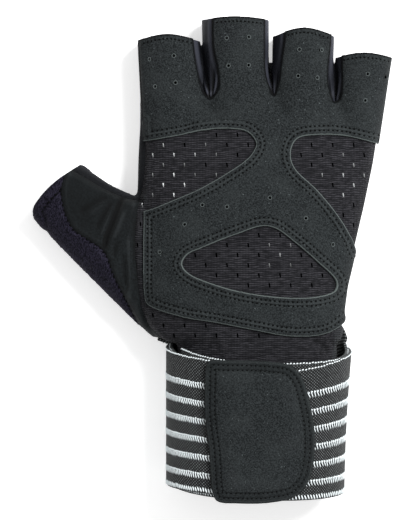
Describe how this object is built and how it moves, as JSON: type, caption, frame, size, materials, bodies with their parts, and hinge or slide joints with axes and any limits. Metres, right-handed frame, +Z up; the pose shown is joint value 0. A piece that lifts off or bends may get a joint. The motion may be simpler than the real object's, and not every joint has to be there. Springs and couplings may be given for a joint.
{
  "type": "weightlifting glove",
  "caption": "Short-fingered left-hand training glove with a suede palm overlay on knit, a terry thumb back and a long elastic wrist wrap held by a closure tab.",
  "frame": {"origin": "on the flat back of the hand that the glove lies on, under the middle of the palm", "axes": "+X from the thumb side to the little-finger side, +Y towards the fingertips, +Z up, out of the palm"},
  "size_m": [0.1636, 0.2181, 0.0427],
  "materials": {
    "knit": "matt ribbed knit with small vent slits",
    "suede": "mottled charcoal suede with double stitched edges",
    "stretch_cloth": "smooth stretch cloth with a slight sheen",
    "thumb_cloth": "fine matt cloth",
    "terry": "looped towelling",
    "elastic": "woven elastic with pale lengthwise stripes"
  },
  "bodies": {
    "root": {"palm_knit": "knit", "palm_overlay": "suede", "back_panel": "stretch_cloth", "side_gusset": "stretch_cloth", "fourchette_index_middle": "stretch_cloth", "fourchette_middle_ring": "stretch_cloth", "fourchette_ring_little": "stretch_cloth", "thumb_panel": "thumb_cloth", "thumb_terry": "terry", "wrist_wrap": "elastic", "closure_tab": "suede"}
  },
  "joints": []
}
